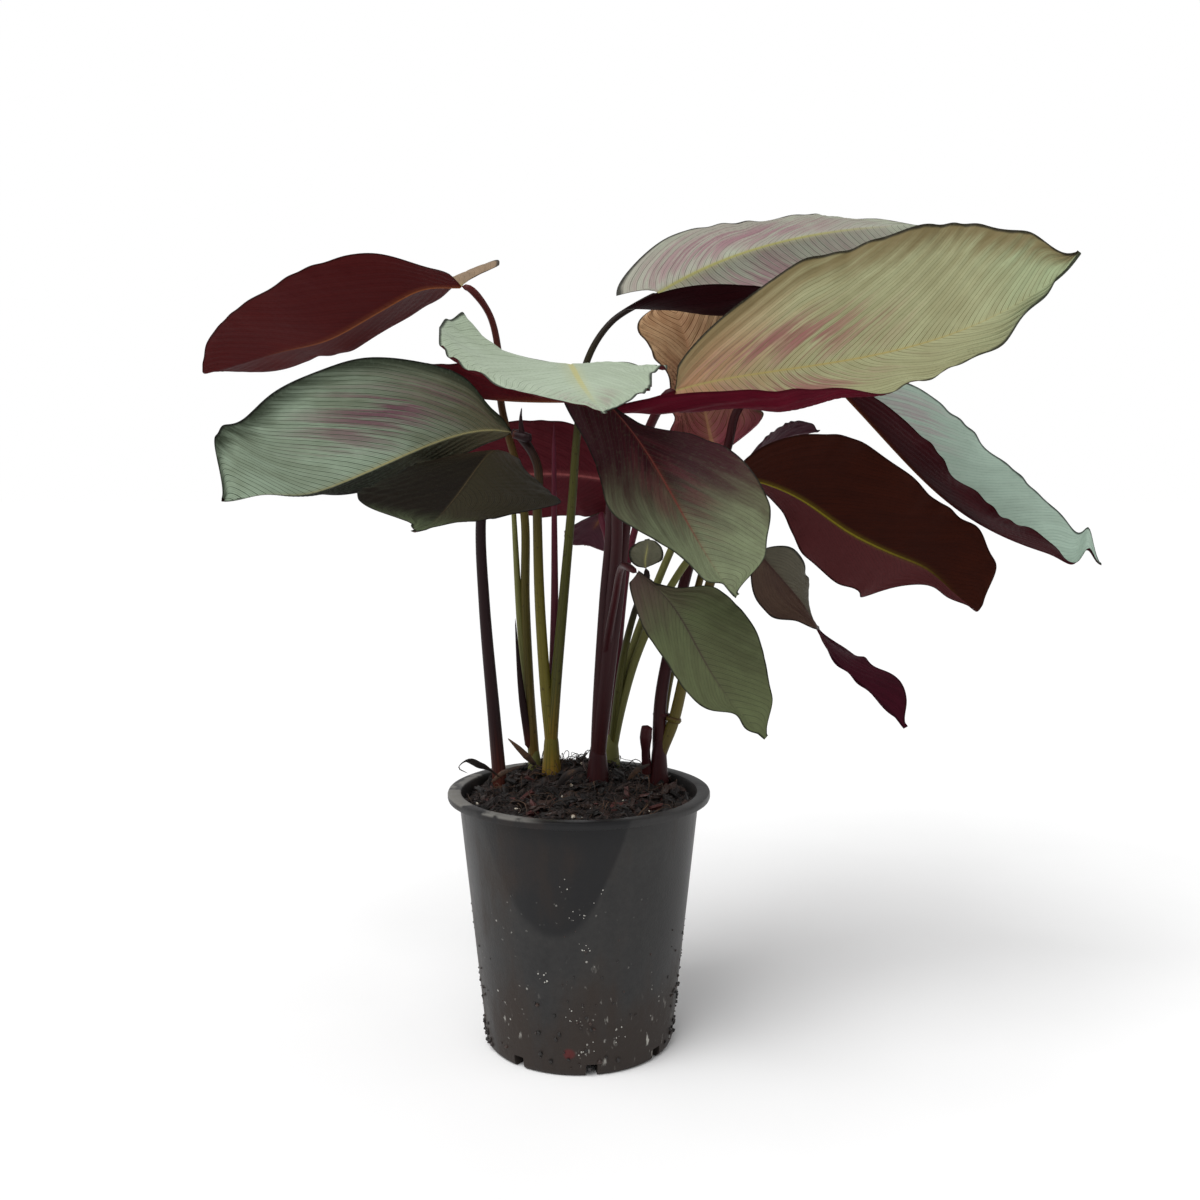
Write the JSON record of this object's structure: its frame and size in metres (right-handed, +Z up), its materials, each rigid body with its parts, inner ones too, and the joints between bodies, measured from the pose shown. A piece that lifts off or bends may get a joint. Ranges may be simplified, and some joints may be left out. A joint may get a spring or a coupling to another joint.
{
  "type": "potted plant",
  "caption": "Potted calathea in a thin nursery pot, with long stalks and broad silver and burgundy leaf blades that spread to both sides.",
  "frame": {"origin": "centre of the pot's flat bottom, on the surface that it stands on", "axes": "+Z up along the pot's axis; X along the plant's widest spread, +X to the right of the picture; +Y away from the picture's viewer"},
  "size_m": [0.5249, 0.2867, 0.4556],
  "materials": {
    "pot_plastic": "thin moulded plastic, charcoal, slightly glossy and dusty",
    "bark_soil": "moist potting mix of fine bark, fibres and a few light grains",
    "leaf_silver": "leaf, silver green above with fine dark veins, burgundy below",
    "leaf_olive": "leaf, dark olive above, burgundy below",
    "leaf_burgundy": "leaf seen from its burgundy side",
    "leaf_mauve": "small leaf, grey mauve",
    "leaf_tan": "young leaf, tan with a pink side",
    "stalk_olive": "smooth fleshy stalk, olive",
    "stalk_dark": "smooth fleshy stalk, dark burgundy"
  },
  "bodies": {
    "root": {"pot": "pot_plastic", "soil": "bark_soil", "shoot_far_left": "stalk_dark", "shoot_left": "stalk_olive", "shoot_middle": "stalk_olive", "shoot_centre": "stalk_dark", "shoot_back": "stalk_olive", "shoot_right": "stalk_dark", "blade_high_left": "leaf_burgundy", "blade_broad_left": "leaf_silver", "blade_low_left": "leaf_olive", "blade_front_centre": "leaf_silver", "blade_hidden_left": "leaf_burgundy", "blade_front_dark": "leaf_olive", "blade_low_front": "leaf_olive", "blade_small_grey": "leaf_silver", "blade_dark_right": "leaf_burgundy", "blade_hidden_right": "leaf_mauve", "blade_long_right": "leaf_silver", "blade_broad_right": "leaf_silver", "blade_young_pleated": "leaf_tan", "blade_top_back": "leaf_silver", "blade_twisted_right": "leaf_burgundy", "blade_back_burgundy": "leaf_burgundy", "blade_back_small": "leaf_mauve"}
  },
  "joints": []
}
